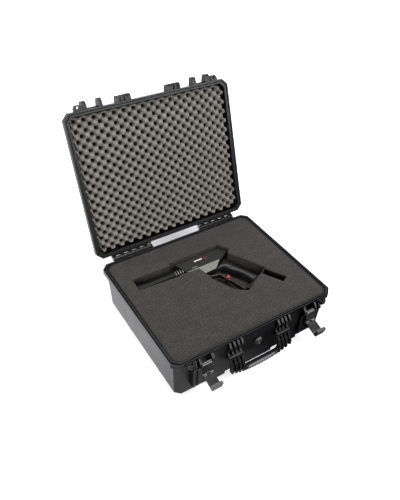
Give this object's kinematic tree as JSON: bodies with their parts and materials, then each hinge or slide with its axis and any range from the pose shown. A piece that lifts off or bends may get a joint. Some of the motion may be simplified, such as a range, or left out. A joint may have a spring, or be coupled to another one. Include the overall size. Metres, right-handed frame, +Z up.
{
  "type": "hard transit case with hand instrument",
  "caption": "Open hard transit case with egg-crate foam in its hinged lid and a cut foam insert in its base that stores a pistol-grip hand instrument.",
  "frame": {"origin": "centre of the case's bottom face, on the ground, with the lid open", "axes": "+X to the right seen from the handle side, -Y towards the handle, +Z up"},
  "size_m": [0.524, 0.7007, 0.5746],
  "materials": {
    "case_plastic": "satin",
    "steel_pin": "satin",
    "screw_black": "satin",
    "tool_cover": "matte",
    "seal_rubber": "matte",
    "base_foam": "matte",
    "lid_foam": "matte",
    "latch_plastic": "satin",
    "grip_insert": "matte",
    "tool_plastic": "matte",
    "tool_metal": "satin",
    "tool_ring": "satin",
    "mark_light": "gloss",
    "mark_red": "gloss",
    "button_red": "gloss",
    "circuit_green": "satin",
    "battery_wrap": "satin",
    "lens_glass": "gloss"
  },
  "bodies": {
    "base": {"base_shell": "case_plastic", "hinge_pins": "steel_pin", "base_foam": "base_foam", "base_foam_pad": "base_foam", "latch_base_pins": "steel_pin", "handle_pins": "steel_pin", "valve_body": "case_plastic", "valve_seal": "seal_rubber"},
    "lid": {"lid_shell": "case_plastic", "lid_gasket": "seal_rubber", "lid_foam": "lid_foam"},
    "latch_link_left": {"latch_link_left": "latch_plastic", "latch_lever_pin_left": "steel_pin"},
    "latch_link_right": {"latch_link_right": "latch_plastic", "latch_lever_pin_right": "steel_pin"},
    "latch_lever_left": {"latch_lever_left": "latch_plastic"},
    "latch_lever_right": {"latch_lever_right": "latch_plastic"},
    "handle": {"handle_frame": "case_plastic", "handle_grip_insert": "grip_insert"},
    "valve_knob": {"valve_knob": "latch_plastic"},
    "tool_button": {"tool_button": "button_red"},
    "tool": {"tool_housing_lower": "tool_plastic", "tool_housing_upper": "tool_plastic", "tool_circuit_board": "circuit_green", "tool_side_cover": "tool_cover", "tool_cover_screws": "screw_black", "tool_side_plate": "tool_metal", "tool_plate_screw": "steel_pin", "tool_mark_light": "mark_light", "tool_mark_red": "mark_red", "tool_barrel": "tool_plastic", "tool_barrel_rings": "tool_ring", "tool_muzzle_cap": "tool_plastic", "tool_lens": "lens_glass", "tool_grip_lower": "tool_plastic", "tool_grip_upper": "tool_plastic", "tool_battery": "battery_wrap", "tool_battery_cap": "tool_plastic", "tool_guard": "tool_plastic"}
  },
  "joints": [
    {"name": "lid_hinge", "type": "hinge", "parent": "base", "child": "lid", "pos_m": [0, 0.2245, 0.1433], "axis": [-1, 0, 0], "range_deg": [-109, 0]},
    {"name": "latch_left_swing", "type": "hinge", "parent": "base", "child": "latch_link_left", "pos_m": [-0.172, -0.222, 0.117], "axis": [1, 0, 0], "range_deg": [-163.5, 0]},
    {"name": "latch_left_lever", "type": "hinge", "parent": "latch_link_left", "child": "latch_lever_left", "pos_m": [-0.172, -0.23, 0.088], "axis": [1, 0, 0], "range_deg": [-0.5, 64]},
    {"name": "latch_right_swing", "type": "hinge", "parent": "base", "child": "latch_link_right", "pos_m": [0.172, -0.222, 0.117], "axis": [1, 0, 0], "range_deg": [-163.5, 0]},
    {"name": "latch_right_lever", "type": "hinge", "parent": "latch_link_right", "child": "latch_lever_right", "pos_m": [0.172, -0.23, 0.088], "axis": [1, 0, 0], "range_deg": [-0.5, 64]},
    {"name": "handle_swing", "type": "hinge", "parent": "base", "child": "handle", "pos_m": [0, -0.222, 0.09], "axis": [-1, 0, 0], "range_deg": [0, 95]},
    {"name": "valve_turn", "type": "hinge", "parent": "base", "child": "valve_knob", "pos_m": [0, -0.2145, 0.093], "axis": [0, -1, 0], "range_deg": [0, 180]},
    {"name": "tool_lift", "type": "slide", "parent": "base", "child": "tool", "axis": [0, 0, 1], "range_m": [0, 0.25]},
    {"name": "tool_button_press", "type": "slide", "parent": "tool", "child": "tool_button", "axis": [0, 0, -1], "range_m": [0, 0.0013]}
  ],
  "couplings": [
    {"joint": "latch_left_lever", "follows": "latch_left_swing", "ratio": -0.38838},
    {"joint": "latch_right_lever", "follows": "latch_right_swing", "ratio": -0.38838}
  ]
}
